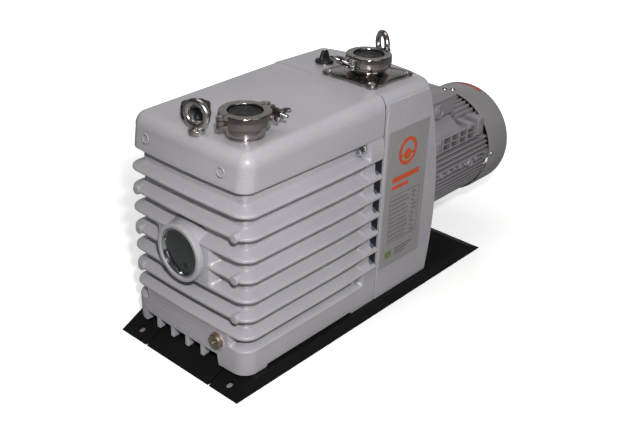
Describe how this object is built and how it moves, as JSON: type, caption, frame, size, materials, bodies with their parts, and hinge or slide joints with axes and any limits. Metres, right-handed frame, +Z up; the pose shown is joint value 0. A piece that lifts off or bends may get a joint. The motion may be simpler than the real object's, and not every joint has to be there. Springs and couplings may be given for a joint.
{
  "type": "rotary vane vacuum pump",
  "caption": "Two-stage oil-sealed rotary vane vacuum pump with finned oil case, sight glass, clamped vertical intake and exhaust ports, flange-mounted motor and folded base plate.",
  "frame": {"origin": "on the floor plane, under the middle of the overall length and width", "axes": "+Y along the shaft from the sight glass towards the motor, +X to the right when facing the sight glass, +Z up"},
  "size_m": [0.266, 0.764, 0.434],
  "materials": {
    "black_base": "gloss black paint",
    "pump_grey": "satin light grey paint",
    "motor_grey": "satin mid grey paint",
    "nickel": "polished nickel",
    "zinc": "bright zinc",
    "steel": "machined steel",
    "iron": "machined cast iron",
    "rubber": "matt",
    "black_plastic": "satin",
    "sight": "clear",
    "copper": "enamelled copper wire",
    "plug": "dull brass",
    "label": "printed film",
    "red_elastomer": "polyurethane",
    "arrow": "printed film",
    "vane_mat": "fibre composite",
    "filter": "filter paper"
  },
  "bodies": {
    "frame": {"base_plate": "black_base", "oil_case": "pump_grey", "case_gasket": "rubber", "rear_housing": "pump_grey", "housing_screws": "zinc", "sight_glass_ring": "nickel", "sight_glass": "sight", "sight_glass_seal": "rubber", "drain_washer": "copper", "filler_seal": "rubber", "exhaust_nozzle": "nickel", "intake_flange": "nickel", "intake_flange_screws": "zinc", "intake_screen": "steel", "port_seal_rings": "rubber", "port_blank_plugs": "black_plastic", "clamp_pins": "zinc", "exhaust_clamp_left_half": "nickel", "exhaust_clamp_right_half": "nickel", "intake_clamp_left_half": "nickel", "intake_clamp_right_half": "nickel", "eye_bolts": "nickel", "gas_ballast_seat": "steel", "rating_label": "label", "motor_frame": "motor_grey", "motor_flange_shield": "motor_grey", "motor_rear_shield": "motor_grey", "terminal_box": "motor_grey", "terminal_box_lid": "motor_grey", "terminal_box_screws": "zinc", "cable_plug": "motor_grey", "fan_cowl": "motor_grey", "cowl_screws": "zinc", "rotation_arrow": "arrow", "stator_core": "iron", "stator_windings": "copper", "motor_bearings": "steel", "shaft_seal": "rubber", "hv_cylinder": "iron", "lv_cylinder": "iron", "stage_plates": "iron", "exhaust_filter": "filter"},
    "rotor": {"motor_shaft": "steel", "motor_rotor": "iron", "cooling_fan": "black_plastic", "coupling_hubs": "iron", "coupling_spider": "red_elastomer", "pump_rotor": "iron", "vane_springs": "steel"},
    "hv_vane_a": {"hv_vane_a": "vane_mat"},
    "hv_vane_b": {"hv_vane_b": "vane_mat"},
    "lv_vane_a": {"lv_vane_a": "vane_mat"},
    "lv_vane_b": {"lv_vane_b": "vane_mat"},
    "exhaust_swing_bolt": {"exhaust_clamp_bolt": "zinc"},
    "exhaust_nut": {"exhaust_wing_nut": "nickel"},
    "intake_swing_bolt": {"intake_clamp_bolt": "zinc"},
    "intake_nut": {"intake_wing_nut": "nickel"},
    "filler_cap": {"oil_filler_cap": "black_plastic"},
    "ballast_knob": {"gas_ballast_knob": "black_plastic"},
    "drain": {"drain_plug": "plug"}
  },
  "joints": [
    {"name": "drive_shaft_turn", "type": "hinge", "parent": "frame", "child": "rotor", "pos_m": [0, -0.161, 0.171], "axis": [0, 1, 0], "continuous": true},
    {"name": "hv_vane_a_slide", "type": "slide", "parent": "rotor", "child": "hv_vane_a", "axis": [1, 0, 0], "range_m": [0, 0.0052]},
    {"name": "hv_vane_b_slide", "type": "slide", "parent": "rotor", "child": "hv_vane_b", "axis": [-1, 0, 0], "range_m": [0, 0.0052]},
    {"name": "lv_vane_a_slide", "type": "slide", "parent": "rotor", "child": "lv_vane_a", "axis": [1, 0, 0], "range_m": [0, 0.0052]},
    {"name": "lv_vane_b_slide", "type": "slide", "parent": "rotor", "child": "lv_vane_b", "axis": [-1, 0, 0], "range_m": [0, 0.0052]},
    {"name": "exhaust_clamp_bolt_swing", "type": "hinge", "parent": "frame", "child": "exhaust_swing_bolt", "pos_m": [0.05854, -0.2514, 0.40141], "axis": [0, 0, 1], "range_deg": [0, 100]},
    {"name": "exhaust_wing_nut_turn", "type": "hinge", "parent": "exhaust_swing_bolt", "child": "exhaust_nut", "pos_m": [0.08639, -0.25433, 0.40141], "axis": [0.9945, -0.1045, 0], "continuous": true},
    {"name": "intake_clamp_bolt_swing", "type": "hinge", "parent": "frame", "child": "intake_swing_bolt", "pos_m": [0.03946, -0.0406, 0.411], "axis": [0, 0, 1], "range_deg": [0, 100]},
    {"name": "intake_wing_nut_turn", "type": "hinge", "parent": "intake_swing_bolt", "child": "intake_nut", "pos_m": [0.01162, -0.03767, 0.411], "axis": [-0.9945, 0.1045, 0], "continuous": true},
    {"name": "oil_filler_cap_turn", "type": "hinge", "parent": "frame", "child": "filler_cap", "pos_m": [-0.036, -0.297, 0.37353], "axis": [0, 0, 1], "continuous": true},
    {"name": "gas_ballast_knob_turn", "type": "hinge", "parent": "frame", "child": "ballast_knob", "pos_m": [-0.05, -0.004, 0.384], "axis": [0, 0, 1], "range_deg": [0, 180]},
    {"name": "drain_plug_turn", "type": "hinge", "parent": "frame", "child": "drain", "pos_m": [0.068, -0.361, 0.068], "axis": [0, 1, 0], "continuous": true}
  ]
}
